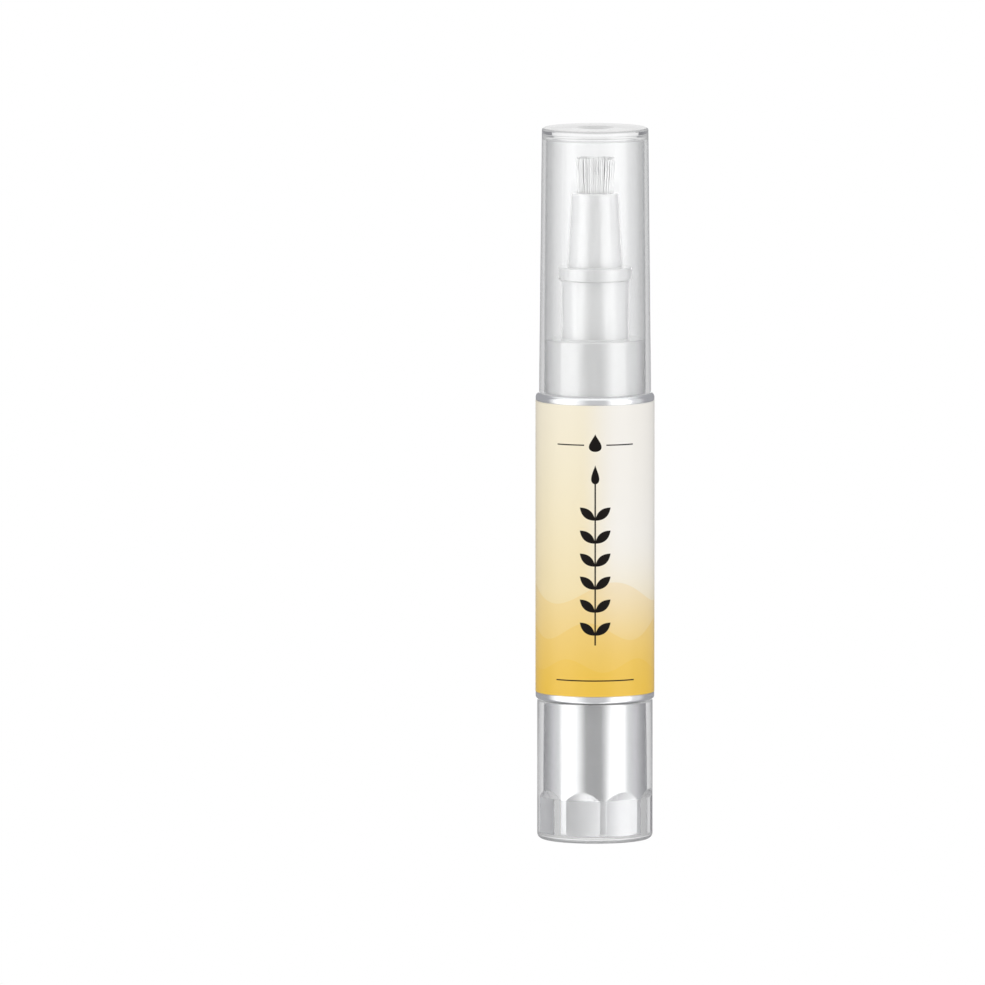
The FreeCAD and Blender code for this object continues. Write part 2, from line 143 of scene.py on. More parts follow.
class TipSettings(bpy.types.PropertyGroup):
    """Sizes and colours of the neck, the nozzle and the brush."""

    shoulder: length("Shoulder radius", "Radius of the shoulder under the front ring", 7.9)
    seat: length("Seat radius", "Radius of the seat that the cap slides on", 7.24)
    plug: length("Plug radius", "Radius of the plug in the oil chamber", 6.58)
    funnel_wall: length("Funnel wall", "Wall of the funnel at the plug's foot", 1.0)
    funnel_height: length("Funnel height", "Height of the funnel over the oil chamber", 6.5)
    plug_depth: length("Plug depth", "How far the plug reaches into the chamber", 3.25)
    shoulder_height: length("Shoulder height", "Thickness of the shoulder", 0.75)
    seat_top: length("Seat height", "Height of the seat above the shoulder", 8.35)
    channel: length("Channel radius", "Radius of the oil channel", 1.9)
    neck: length("Neck radius", "Outer radius of the neck", 4.94)
    neck_bore: length("Neck bore", "Radius of the neck's bore, which holds the nozzle", 3.89)
    spigot_gap: length("Spigot gap", "Gap below the nozzle's spigot", 0.2)
    spigot: length("Spigot radius", "Radius of the nozzle's spigot", 3.87)
    flange: length("Flange radius", "Radius of the nozzle's flange", 5.36)
    flange_height: length("Flange height", "Thickness of the nozzle's flange", 1.85)
    cone_foot: length("Cone foot radius", "Radius of the nozzle's cone at its foot", 4.03)
    cone_tip: length("Cone tip radius", "Radius of the nozzle's cone at its tip", 3.42)
    brush_hole: length("Brush hole", "Radius of the hole that holds the brush", 2.65)
    retainer_bore: length("Retainer bore", "Radius of the bore below the brush hole", 2.95)
    grip: length("Brush grip", "Length of the brush inside the cone", 6.8)
    brush_foot: length("Brush foot", "Thickness of the brush's fused foot", 0.75)
    feed_bore: length("Feed tube hole", "Radius of the hole for the feed tube", 0.82)
    flare: length("Brush flare", "How much the brush widens towards its top", 0.3)
    filament: length("Filament radius", "Radius of one brush filament", 0.085)
    filaments: number("Filaments", "Number of filaments in the brush", 520)
    ragged: length("Ragged tips", "How unevenly the filaments end", 0.5)
    plastic: colour("Plastic", "Colour of the milky plastic", (0.85, 0.85, 0.845))
    nylon: colour("Nylon", "Colour of the brush filaments", (0.82, 0.82, 0.815))


class BarrelSettings(bpy.types.PropertyGroup):
    """Sizes and colours of the barrel's rings and label."""

    ring: length("Ring radius", "Outer radius of both rings", 8.48)
    front_lip: length("Front lip", "Inner radius of the front ring's lip", 7.32)
    front_bore: length("Front bore", "Inner radius of the front ring's skirt", 7.97)
    front_lip_height: length("Front lip height", "Thickness of the front ring's lip", 0.55)
    front_rounding: length("Front rounding", "Rounding of the front ring's shoulder", 0.7)
    rear_bore: length("Rear bore", "Inner radius of the rear ring", 5.9)
    rear_rounding: length("Rear rounding", "Rounding of the rear ring's lower edge", 0.4)
    label: length("Label radius", "Outer radius of the label", 8.5)
    film: length("Film thickness", "Thickness of the label's film", 0.06)
    seam: length("Seam width", "Width of the label's butt seam at the back", 0.4)
    cream: colour("Cream", "Label colour at the top", (0.96, 0.895, 0.74))
    # Pale is a painted sheen: a whiter patch at the label's upper right that stands in for a soft reflection
    pale: colour("Pale", "Label colour at the upper right, which fades into the cream", (0.96, 0.93, 0.87))
    sand: colour("Sand", "Label colour about a third of the way up", (0.95, 0.82, 0.5))
    gold: colour("Gold", "Label colour at the foot", (0.91, 0.565, 0.045))
    ink: colour("Ink", "Colour of the printed ornament", (0.008, 0.006, 0.005))
    silver: colour("Silver", "Colour of the bright rings", (0.88, 0.89, 0.9))


class KnobSettings(bpy.types.PropertyGroup):
    """Sizes and colours of the clear knob and its silver insert."""

    outer: length("Outer radius", "Outer radius of the clear shell", 8.25)
    bore: length("Bore radius", "Bore of the clear shell", 7.4)
    floor: length("Floor thickness", "Thickness of the clear floor", 1.0)
    foot_rounding: length("Foot rounding", "Rounding of the shell's lower edge", 0.8)
    insert: length("Insert radius", "Outer radius of the silver insert", 7.36)
    insert_bore: length("Insert bore", "Radius of the insert's spring chamber", 5.83)
    spring_seat: length("Spring seat", "Height of the spring's seat above the insert's foot", 5.1)
    socket: length("Socket radius", "Radius of the socket for the drive spindle", 4.02)
    socket_flat: length("Socket half width", "Half width across the socket's flats", 3.52)
    socket_floor: length("Socket floor", "Height of the socket's floor above the insert's foot", 1.0)
    flat_depth: length("Flat depth", "Depth of the key's flats below the round", 0.4)
    flat_gap: length("Flat gap", "Gap between the insert's flats and the shell", 0.02)
    key_height: length("Key height", "Height of the key's flats above the insert's foot", 5.05)
    key_slope: bpy.props.FloatProperty(
        name="Shelf slope", description="Rise of the shelf above each flat over its depth", default=3.0
    )
    key_sides: number("Key sides", "Number of flats on the key", 8)
    key_turn: turn("Key turn", "Turn of one key corner from the front", 9.0)
    keyways: number("Keyways", "Number of keyways in the insert's bore", 3)
    keyway_depth: length("Keyway depth", "Depth of a keyway in the insert's bore", 0.32)
    keyway_width: length("Keyway width", "Width of a keyway in the insert's bore", 1.56)
    keyway_length: length("Keyway length", "Length of a keyway from the insert's top", 2.9)
    silver: colour("Silver", "Colour of the insert's plating", (0.87, 0.87, 0.875))


class DriveSettings(bpy.types.PropertyGroup):
    """Sizes of the screw, the nut and the spring."""

    lead: length("Lead", "Rise of the thread in one turn", 1.2)
    crest: length("Crest radius", "Outer radius of the rod's thread", 2.5)
    root: length("Root radius", "Radius at the root of the rod's thread", 2.1)
    play: length("Thread play", "Gap between the rod's thread and the nut's", 0.06)
    rod_flat: length("Rod half width", "Half width across the rod's flats", 1.8)
    rod_head: length("Head height", "Height of the rod's snap head and neck", 2.4)
    head_radius: length("Head radius", "Radius of the rod's snap head", 2.0)
    neck_radius: length("Neck radius", "Radius of the neck below the snap head", 1.4)
    neck_height: length("Neck height", "Height of the neck below the snap head", 1.0)
    head_lead: length("Head lead-in", "Bevel on the rod's snap head", 0.7)
    nut: length("Nut radius", "Radius of the nut's flange", 6.58)
    nut_bore: length("Nut bore", "Radius inside the nut's thread", 2.2)
    nut_hub: length("Hub radius", "Radius of the nut's hub", 3.8)
    nut_flange: length("Nut flange", "Thickness of the nut's flange", 1.6)
    wire: length("Wire radius", "Radius of the spring's wire", 0.25)
    coil: length("Coil radius", "Radius of the spring at the middle of its wire", 4.55)
    turns: number("Turns", "Free turns of the spring, between one closed turn at each end", 6)


class StageSettings(bpy.types.PropertyGroup):
    """Camera and light of the studio."""

    elevation: turn("Elevation", "Height of the camera above the horizon", 6.0)
    field: length("Field", "Width of the picture at the pen", 140.7)
    lens: bpy.props.FloatProperty(
        name="Lens", description="Focal length in millimetres", default=1000.0, min=50.0
    )
    aside: length("Aside", "How far the pen stands right of the picture's middle", 14.64)
    aim: length("Aim", "Height of the picture's middle on the pen's axis", 49.65)
    floor: length("Floor radius", "Radius of the pale floor", 2500.0)
    key: bpy.props.FloatProperty(
        name="Soft boxes", description="Strength of the two soft boxes", default=1.75, min=0.0
    )
    fill: bpy.props.FloatProperty(
        name="Fill", description="Strength of the fill beside the soft boxes", default=1.2, min=0.0
    )
    flags: colour("Flags", "Colour of the dark flags at the sides and behind", (0.3, 0.3, 0.32))
    front: colour("Front", "Colour of the room behind the camera", (0.56, 0.56, 0.57))


def add(tree, kind, inputs=None, **settings):
    """Add a node. An input is a value, or a socket to link from."""
    made = tree.nodes.new(kind)
    for key, value in settings.items():
        setattr(made, key, value)
    for key, value in (inputs or {}).items():
        if isinstance(value, bpy.types.NodeSocket):
            tree.links.new(value, made.inputs[key])
        else:
            made.inputs[key].default_value = value
    return made


def calc(tree, operation, *values):
    """Result of a Math node, whose inputs are numbers or sockets."""
    return add(tree, "ShaderNodeMath", dict(enumerate(values)), operation=operation).outputs[0]


def blend(tree, factor, low, high):
    """Colour between two others, by a factor."""
    made = add(tree, "ShaderNodeMix", {0: factor, 6: low, 7: high}, data_type="RGBA")
    return made.outputs[2]


def opaque(rgb):
    """A colour property as the four numbers of a colour socket."""
    return (*rgb, 1.0)


def grey(level):
    """A grey as the four numbers of a colour socket."""
    return (level, level, level, 1.0)


def own_place(tree):
    """Place on the piece, measured as the pen stands at rest."""
    return add(tree, "ShaderNodeTexCoord").outputs["Object"]


def split(tree, place):
    """The X, Y and Z of a place."""
    return add(tree, "ShaderNodeSeparateXYZ", {0: place}).outputs


def around_axis(tree, axes):
    """Angle about the pen's axis from the front, growing towards +X."""
    return calc(tree, "ARCTAN2", axes["X"], calc(tree, "MULTIPLY", axes["Y"], -1.0))


def smooth_step(tree, value, low, high):
    """Mask that rises smoothly from 0 to 1 as a value goes from low to high."""
    return add(
        tree, "ShaderNodeMapRange", {"Value": value, "From Min": low, "From Max": high},
        interpolation_type="SMOOTHSTEP",
    ).outputs["Result"]


def new_group(name, inputs, outputs):
    """Shader node group with number sockets, and the nodes of its two ends."""
    tree = bpy.data.node_groups.new(name, "ShaderNodeTree")
    kind = "NodeSocketFloat"
    for title, value in inputs.items():
        tree.interface.new_socket(title, in_out="INPUT", socket_type=kind).default_value = value
    for title in outputs:
        tree.interface.new_socket(title, in_out="OUTPUT", socket_type=kind)
    entry = tree.nodes.new("NodeGroupInput").outputs
    leave = tree.nodes.new("NodeGroupOutput").inputs
    return tree, entry, leave


def place_group(tree, name, **inputs):
    """Outputs of a shared group placed in a tree."""
    return add(tree, "ShaderNodeGroup", inputs, node_tree=shared_group(name)).outputs


def fine_grain():
    """Fine moulded grain with broader handling marks, for roughness and bump."""
    tree, entry, leave = new_group(
        "fine_grain", {"Scale": 900.0, "Roughness": 0.3, "Spread": 0.1}, ("Roughness", "Height")
    )
    mark_scale = 140.0
    mark_share = 0.65
    place = own_place(tree)
    grain = add(
        tree, "ShaderNodeTexNoise", {"Vector": place, "Scale": entry["Scale"], "Detail": 4.0}
    ).outputs["Fac"]
    marks = add(
        tree, "ShaderNodeTexNoise", {"Vector": place, "Scale": mark_scale, "Detail": 3.0}
    ).outputs["Fac"]
    fine_part = calc(tree, "MULTIPLY", grain, 1 - mark_share)
    mixed = calc(tree, "MULTIPLY_ADD", marks, mark_share, fine_part)
    swing = calc(tree, "MULTIPLY", calc(tree, "SUBTRACT", mixed, 0.5), entry["Spread"])
    tree.links.new(calc(tree, "ADD", entry["Roughness"], swing), leave["Roughness"])
    tree.links.new(grain, leave["Height"])
    return tree


def turned_lines():
    """Fine lines around the pen's axis, as on turned or drawn metal."""
    tree, entry, leave = new_group(
        "turned_lines", {"Lines": 16000.0, "Roughness": 0.2, "Spread": 0.1}, ("Roughness", "Height")
    )
    height = split(tree, own_place(tree))["Z"]
    lines = add(
        tree,
        "ShaderNodeTexNoise",
        {"W": calc(tree, "MULTIPLY", height, entry["Lines"]), "Scale": 1.0, "Detail": 2.0},
        noise_dimensions="1D",
    ).outputs["Fac"]
    swing = calc(tree, "MULTIPLY", calc(tree, "SUBTRACT", lines, 0.5), entry["Spread"])
    tree.links.new(calc(tree, "ADD", entry["Roughness"], swing), leave["Roughness"])
    tree.links.new(lines, leave["Height"])
    return tree


def wave_band():
    """Mask of one printed wave, which fills the label below a rolling edge."""
    tree, entry, leave = new_group(
        "wave_band",
        {
            "Around": 0.0, "Height": 0.0, "Level": 0.0, "Swell": 0.0,
            "Count": 3.0, "Phase": 0.0, "Edge": WAVE_EDGE * MM,
        },
        ("Mask",),
    )
    angle = calc(tree, "MULTIPLY_ADD", entry["Around"], entry["Count"], entry["Phase"])
    crest = calc(tree, "MULTIPLY_ADD", calc(tree, "SINE", angle), entry["Swell"], entry["Level"])
    depth = calc(tree, "DIVIDE", calc(tree, "SUBTRACT", crest, entry["Height"]), entry["Edge"])
    mask = add(tree, "ShaderNodeClamp", {"Value": calc(tree, "ADD", depth, 0.5)}).outputs[0]
    tree.links.new(mask, leave["Mask"])
    return tree


GROUP_MAKERS = {"fine_grain": fine_grain, "turned_lines": turned_lines, "wave_band": wave_band}


def shared_group(name):
    """A shared shader group, made the first time that a material asks for it."""
    return bpy.data.node_groups.get(name) or GROUP_MAKERS[name]()


def new_finish(name):
    """Material with a Principled shader, with its tree and that shader."""
    material = bpy.data.materials.new(name)
    material.use_nodes = True
    tree = material.node_tree
    return material, tree, tree.nodes["Principled BSDF"]


def bump(tree, shader, height, strength, distance):
    """Let a height pattern tilt the shader's surface."""
    made = add(tree, "ShaderNodeBump", {"Height": height, "Strength": strength, "Distance": distance})
    tree.links.new(made.outputs["Normal"], shader.inputs["Normal"])


def grained(name, rgb, scale, roughness, spread, strength, **sockets):
    """Moulded finish: one colour with slight clouding, fine grain and handling marks.

    The other sockets of the shader are named with _ for a space.
    """
    material, tree, shader = new_finish(name)
    cloud_scale = 220.0
    cloud_shade = 0.96
    grain_depth = 0.02 * MM
    grain = place_group(tree, "fine_grain", Scale=scale, Roughness=roughness, Spread=spread)
    cloud = add(
        tree, "ShaderNodeTexNoise", {"Vector": own_place(tree), "Scale": cloud_scale, "Detail": 2.0}
    ).outputs["Fac"]
    dim = opaque(cloud_shade * part for part in rgb)
    tree.links.new(blend(tree, cloud, dim, opaque(rgb)), shader.inputs["Base Color"])
    tree.links.new(grain["Roughness"], shader.inputs["Roughness"])
    bump(tree, shader, grain["Height"], strength, grain_depth)
    for socket, value in sockets.items():
        shader.inputs[socket.replace("_", " ")].default_value = value
    return material


def metal(name, rgb, lines, roughness, spread, strength):
    """Metal finish with fine lines around the pen's axis."""
    material, tree, shader = new_finish(name)
    line_shade = 0.93
    line_depth = 0.01 * MM
    turned = place_group(tree, "turned_lines", Lines=lines, Roughness=roughness, Spread=spread)
    dim = opaque(line_shade * part for part in rgb)
    tree.links.new(blend(tree, turned["Height"], dim, opaque(rgb)), shader.inputs["Base Color"])
    shader.inputs["Metallic"].default_value = 0.8
    tree.links.new(turned["Roughness"], shader.inputs["Roughness"])
    bump(tree, shader, turned["Height"], strength, line_depth)
    return material


def plated(name, rgb, shelf):
    """Satin plating on the insert, duller on the key below its shelf."""
    material = metal(name, rgb, lines=5000.0, roughness=0.2, spread=0.08, strength=0.05)
    tree = material.node_tree
    dulling = 0.2
    roughness = tree.nodes["Principled BSDF"].inputs["Roughness"]
    height = split(tree, own_place(tree))["Z"]
    below = calc(tree, "LESS_THAN", height, shelf)
    duller = calc(tree, "MULTIPLY_ADD", below, dulling, roughness.links[0].from_socket)
    tree.links.new(duller, roughness)
    return material


def clear_plastic(name, rgb, glow):
    """Clear polished moulding with faint handling marks, its colour darkened towards the edges as seen, a
    painted shade. Rays that bounce inside it more than twice meet a painted glow.
    """
    material, tree, shader = new_finish(name)
    edge_shade = 0.44
    grain_depth = 0.005 * MM
    most_bounces = 2.5
    grain = place_group(tree, "fine_grain", Scale=500.0, Roughness=0.02, Spread=0.02)
    # Painted shade: the colour falls to edge_shade of itself where the surface turns away from the view
    facing = add(tree, "ShaderNodeLayerWeight", {"Blend": 0.5}).outputs["Facing"]
    edge = opaque(edge_shade * part for part in rgb)
    tree.links.new(blend(tree, facing, opaque(rgb), edge), shader.inputs["Base Color"])
    shader.inputs["Transmission Weight"].default_value = 1.0
    shader.inputs["IOR"].default_value = PLASTIC_IOR
    tree.links.new(grain["Roughness"], shader.inputs["Roughness"])
    bump(tree, shader, grain["Height"], strength=0.02, distance=grain_depth)
    # Painted glow: where a ray has bounced in the plastic more than twice, the surface becomes an emission of
    # the plastic's colour, so trapped rays show light instead of dark
    bounces = add(tree, "ShaderNodeLightPath").outputs["Glossy Depth"]
    trapped = calc(tree, "GREATER_THAN", bounces, most_bounces)
    painted_glow = add(tree, "ShaderNodeEmission", {"Color": opaque(glow * part for part in rgb)})
    lit = add(tree, "ShaderNodeMixShader", {0: trapped, 1: shader.outputs[0], 2: painted_glow.outputs[0]})
    clear_shadow(tree, lit, part=1.0, tint=0.95)
    return material


def clear_shadow(tree, shader, part, tint):
    """Let part of the light through a clear or milky piece onto what is behind it."""
    shadow_ray = add(tree, "ShaderNodeLightPath").outputs["Is Shadow Ray"]
    shadow = calc(tree, "MULTIPLY", shadow_ray, part)
    through = add(tree, "ShaderNodeBsdfTransparent", {"Color": grey(tint)})
    mixed = add(tree, "ShaderNodeMixShader", {0: shadow, 1: shader.outputs[0], 2: through.outputs[0]})
    tree.links.new(mixed.outputs[0], tree.nodes["Material Output"].inputs["Surface"])


def strip_mask(tree, across, along, middle, half_width, half_length):
    """Mask of a printed strip, in millimetres on the label."""
    beside = calc(tree, "SUBTRACT", half_width, calc(tree, "ABSOLUTE", across))
    beyond = calc(tree, "ABSOLUTE", calc(tree, "SUBTRACT", along, middle))
    inside = calc(tree, "MINIMUM", beside, calc(tree, "SUBTRACT", half_length, beyond))
    return crisp(tree, inside)


def crisp(tree, inside):
    """Mask that is 1 where a distance inside a printed shape, in millimetres, is above 0."""
    edge = calc(tree, "MULTIPLY_ADD", inside, 1 / PRINT_EDGE, 0.5)
    return add(tree, "ShaderNodeClamp", {"Value": edge}).outputs[0]


def drop_mask(tree, across, along, middle, half_width, half_length):
    """Mask of a printed oil drop with its point upwards, in millimetres on the label."""
    # The tapered outline reaches 1.3, so this share of it reaches the half width
    outline_share = 0.77
    rise = calc(tree, "DIVIDE", calc(tree, "SUBTRACT", along, middle), half_length)
    rise = add(tree, "ShaderNodeClamp", {"Value": rise, "Min": -1.0, "Max": 1.0}).outputs[0]
    round_part = calc(tree, "SQRT", calc(tree, "SUBTRACT", 1.0, calc(tree, "MULTIPLY", rise, rise)))
    taper = calc(tree, "MULTIPLY", round_part, calc(tree, "SUBTRACT", 1.0, rise))
    half = calc(tree, "MULTIPLY_ADD", taper, outline_share * half_width, -PRINT_EDGE)
    return crisp(tree, calc(tree, "SUBTRACT", half, calc(tree, "ABSOLUTE", across)))


def leaf_mask(tree, across, along, foot, pairs, pitch, leaf, half_width, angle):
    """Mask of printed pairs of leaves up a stem, in millimetres on the label."""
    sine, cosine = math.sin(angle), math.cos(angle)
    half_stem = pairs * pitch / 2
    above = calc(tree, "SUBTRACT", along, foot)
    beside = calc(tree, "ABSOLUTE", across)
    step = calc(tree, "FLOORED_MODULO", above, pitch)
    along_leaf = calc(tree, "MULTIPLY_ADD", beside, cosine, calc(tree, "MULTIPLY", step, sine))
    off_leaf = calc(tree, "MULTIPLY_ADD", beside, -sine, calc(tree, "MULTIPLY", step, cosine))
    share_along = calc(tree, "MULTIPLY_ADD", along_leaf, 2 / leaf, -1.0)
    belly = calc(tree, "SUBTRACT", 1.0, calc(tree, "MULTIPLY", share_along, share_along))
    outside = calc(tree, "MULTIPLY", calc(tree, "ABSOLUTE", off_leaf), -1.0)
    inside = calc(tree, "MULTIPLY_ADD", belly, half_width, outside)
    within = calc(tree, "COMPARE", above, half_stem, half_stem)
    return calc(tree, "MULTIPLY", crisp(tree, inside), within)


def ornament_mask(tree, around, height, radius):
    """Mask of the printed ornament: a leafy stem up the front, two oil drops over it and fine rules."""
    across = calc(tree, "MULTIPLY", around, radius / MM)
    along = calc(tree, "MULTIPLY", height, 1 / MM)
    rule_middle = 3.7
    from_rule = calc(tree, "SUBTRACT", calc(tree, "ABSOLUTE", across), rule_middle)
    shapes = (
        leaf_mask(
            tree, across, along,
            foot=30.0, pairs=6, pitch=3.3, leaf=2.9, half_width=0.62, angle=math.radians(40),
        ),
        strip_mask(tree, across, along, middle=40.2, half_width=0.11, half_length=11.6),
        drop_mask(tree, across, along, middle=53.2, half_width=0.62, half_length=1.5),
        drop_mask(tree, across, along, middle=57.7, half_width=0.95, half_length=1.35),
        strip_mask(tree, from_rule, along, middle=57.3, half_width=2.1, half_length=0.09),
        strip_mask(tree, across, along, middle=23.5, half_width=6.0, half_length=0.09),
    )
    mask = shapes[0]
    for shape in shapes[1:]:
        mask = calc(tree, "MAXIMUM", mask, shape)
    return mask


def print_ground(tree, settings, around, rise):
    """Label colour without its ornament: cream running down to gold, with a painted sheen that makes it paler
    at the upper right.
    """
    sand_place = 0.36
    painted_sheen_middle = 0.85
    ramp = add(tree, "ShaderNodeValToRGB", {"Fac": rise})
    stops = ramp.color_ramp.elements
    stops[0].color = opaque(settings.gold)
    stops[1].color = opaque(settings.cream)
    stops.new(sand_place).color = opaque(settings.sand)
    ramp.color_ramp.interpolation = "B_SPLINE"
    # Painted sheen: the label turns towards the pale colour on its right side and upper part
    aside = calc(tree, "COSINE", calc(tree, "SUBTRACT", around, painted_sheen_middle))
    right = smooth_step(tree, aside, low=0.45, high=0.92)
    upper = smooth_step(tree, rise, low=0.12, high=0.58)
    corner = calc(tree, "MULTIPLY", right, upper)
    return blend(tree, corner, ramp.outputs["Color"], opaque(settings.pale))


def printed_film(settings):
    """Label film: its printed ground with a painted sheen at the upper right, three rolling bands of the same
    gold, and an ornament in dull ink.
    """
    material, tree, shader = new_finish("printed_film")
    ink_dulling = 0.85
    varnish = 0.5
    grain_depth = 0.01 * MM
    axes = split(tree, own_place(tree))
    height = axes["Z"]
    around = around_axis(tree, axes)
    low, high = foot_of("label_wrap"), top_of("label_wrap")
    rise = add(
        tree, "ShaderNodeMapRange", {"Value": height, "From Min": low, "From Max": high}
    ).outputs["Result"]
    print_colour = print_ground(tree, settings, around, rise)
    for wave in WAVES:
        band = place_group(
            tree, "wave_band", Around=around, Height=height, Level=wave["level"] * MM,
            Swell=wave["swell"] * MM, Count=wave["count"], Phase=wave["phase"], Edge=WAVE_EDGE * MM,
        )["Mask"]
        weight = calc(tree, "MULTIPLY", band, wave["strength"])
        print_colour = blend(tree, weight, print_colour, opaque(settings.gold))
    ornament = ornament_mask(tree, around, height, settings.label)
    print_colour = blend(tree, ornament, print_colour, opaque(settings.ink))
    tree.links.new(print_colour, shader.inputs["Base Color"])
    gloss = calc(tree, "SUBTRACT", 1.0, calc(tree, "MULTIPLY", ornament, ink_dulling))
    tree.links.new(calc(tree, "MULTIPLY", gloss, varnish), shader.inputs["Coat Weight"])
    shader.inputs["Specular IOR Level"].default_value = 0.1
    shader.inputs["Coat Roughness"].default_value = 0.2
    grain = place_group(tree, "fine_grain", Scale=1500.0, Roughness=0.36, Spread=0.08)
    tree.links.new(grain["Roughness"], shader.inputs["Roughness"])
    bump(tree, shader, grain["Height"], strength=0.05, distance=grain_depth)
    return material


def finish_of(name, maker, *values, **settings):
    """A finish, made once and then shared."""
    return bpy.data.materials.get(name) or maker(name, *values, **settings)


def translucent(name, rgb):
    """Natural plastic with a glossy skin, which lets some light through its wall."""
    material = grained(
        name, rgb, scale=700.0, roughness=0.2, spread=0.08, strength=0.06, Transmission_Weight=0.3,
        IOR=PLASTIC_IOR, Coat_Weight=1.0, Coat_Roughness=0.1, Coat_IOR=2.4,
    )
    tree = material.node_tree
    clear_shadow(tree, tree.nodes["Principled BSDF"], part=0.3, tint=0.98)
    return material


def thin_nylon(name, rgb):
    """White nylon, whose thin filaments let light into the tuft."""
    material = grained(name, rgb, scale=1600.0, roughness=0.42, spread=0.1, strength=0.1)
    tree = material.node_tree
    clear_shadow(tree, tree.nodes["Principled BSDF"], part=0.45, tint=0.98)
    return material


def milky_plastic():
    """Natural milky plastic, from the nozzle down to the oil chamber."""
    return finish_of("milky_plastic", translucent, bpy.context.scene.oilpen_tip.plastic)


def white_acetal():
    """White drive plastic."""
    return finish_of(
        "white_acetal", grained, (0.84, 0.84, 0.83), scale=1200.0, roughness=0.38, spread=0.12, strength=0.12
    )


def pick(piece, test):
    """In edit mode, select only the corners whose place passes the test."""
    mesh = bmesh.from_edit_mesh(piece.data)
    for corner in mesh.verts:
        corner.select = bool(test(corner.co))
    mesh.select_flush_mode()
    bmesh.update_edit_mesh(piece.data)


def begin(name):
    """Start a piece in edit mode as one selected corner at the origin."""
    bpy.ops.object.select_all(action="DESELECT")
    bpy.ops.mesh.primitive_plane_add(size=MM)
    piece = bpy.context.object
    piece.name = piece.data.name = name
    bpy.ops.object.mode_set(mode="EDIT")
    bpy.ops.mesh.select_mode(type="VERT")
    bpy.ops.mesh.merge(type="CENTER")
    return piece


def draw(name, places):
    """Start a piece as a chain of edges through some places."""
    piece = begin(name)
    bpy.ops.transform.translate(value=places[0])
    for last, place in zip(places, places[1:]):
        bpy.ops.mesh.extrude_region_move(TRANSFORM_OT_translate={"value": place - last})
    return piece


def near(place):
    """Test that picks the corner at a place."""
    return lambda corner: (corner - place).length < MERGE_DISTANCE


def tidy(piece):
    """Merge doubles, turn the faces outwards and go back to object mode."""
    bpy.ops.mesh.select_all(action="SELECT")
    bpy.ops.mesh.remove_doubles(threshold=MERGE_DISTANCE)
    bpy.ops.mesh.normals_make_consistent(inside=False)
    bpy.ops.object.mode_set(mode="OBJECT")
    return piece


def spun(name, *corners):
    """Solid of revolution about Z. A corner is (radius, height) or (radius, height, rounding)."""
    places = [Vector((corner[0], 0, corner[1])) for corner in corners]
    piece = draw(name, places)
    if places[0].x or places[-1].x:
        ends = near(places[0]), near(places[-1])
        pick(piece, lambda corner: any(end(corner) for end in ends))
        bpy.ops.mesh.edge_face_add()
    for i, corner in enumerate(corners):
        if len(corner) < 3:
            continue
        here = places[i]
        half = (places[i - 1] - here).angle(places[(i + 1) % len(places)] - here) / 2
        pick(piece, near(here))
        bpy.ops.mesh.bevel(
            offset_type="ABSOLUTE", offset=corner[2] / math.tan(half), segments=ROUND_STEPS, affect="VERTICES"
        )
    bpy.ops.mesh.select_all(action="SELECT")
    bpy.ops.mesh.spin(steps=SPIN_STEPS, angle=FULL_TURN, center=(0, 0, 0), axis=(0, 0, 1))
    return tidy(piece)


def make_active(piece):
    """Select one piece alone and make it the active one."""
    bpy.ops.object.select_all(action="DESELECT")
    piece.select_set(True)
    bpy.context.view_layer.objects.active = piece


def apply_modifier(piece, kind, **settings):
    """Add a modifier to a piece and apply it at once."""
    make_active(piece)
    change = piece.modifiers.new(kind.title(), kind)
    for key, value in settings.items():
        setattr(change, key, value)
    bpy.ops.object.modifier_apply(modifier=change.name)


def combine(piece, tool, operation):
    """Join a tool to a piece, or cut the piece with it, and remove the tool."""
    apply_modifier(piece, "BOOLEAN", operation=operation, object=tool, solver="EXACT")
    bpy.data.objects.remove(tool)


def soften(piece, angle=SMOOTH_ANGLE):
    """Shade a finished piece smooth, with its real edges kept sharp."""
    make_active(piece)
    bpy.ops.object.shade_smooth_by_angle(angle=angle)
    return piece


def seat(piece, body, slot, finish, *nodes):
    """Give a piece its finish, let it ride on a body and stand for its nodes."""
    piece.data.materials.clear()
    piece.data.materials.append(finish)
    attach(piece, body)
    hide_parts(*nodes)


def block(name, low, high):
    """Box from its lowest to its highest corner."""
    bpy.ops.object.select_all(action="DESELECT")
    middle = (low + high) / 2
    bpy.ops.mesh.primitive_cube_add(size=1.0, location=middle, scale=high - low)
    piece = bpy.context.object
    piece.name = name
    bpy.ops.object.transform_apply(location=True, rotation=True, scale=True)
    return piece


def spread_round(piece, count, first):
    """Turn a piece to a first angle about the axis and repeat it evenly in the same mesh."""
    make_active(piece)
    piece.rotation_euler.z = first
    bpy.ops.object.transform_apply(location=True, rotation=True, scale=True)
    bpy.ops.object.mode_set(mode="EDIT")
    bpy.ops.mesh.select_all(action="SELECT")
    bpy.ops.mesh.spin(
        steps=count - 1, dupli=True, angle=FULL_TURN * (count - 1) / count, center=(0, 0, 0), axis=(0, 0, 1)
    )
    bpy.ops.object.mode_set(mode="OBJECT")
    return piece


def key_blocks(name, knob, inner, outer, foot):
    """Blocks outside the flats of the key, whose tops slope up along its shelves."""
    shelf = foot_of("knob_insert") + knob.key_height
    flat = knob.insert - knob.flat_depth
    flat_share = 0.92
    half = flat_share * flat * math.tan(math.pi / knob.key_sides)
    start = shelf + knob.key_slope * (inner - flat)
    piece = block(name, Vector((inner, -half, foot)), Vector((outer, half, start)))
    bpy.ops.object.mode_set(mode="EDIT")
    pick(piece, lambda corner: corner.x > (inner + outer) / 2 and corner.z > shelf - MM)
    bpy.ops.transform.translate(value=(0, 0, knob.key_slope * (outer - inner)))
    bpy.ops.object.mode_set(mode="OBJECT")
    first = knob.key_turn - math.pi / 2 + math.pi / knob.key_sides
    return spread_round(piece, knob.key_sides, first)


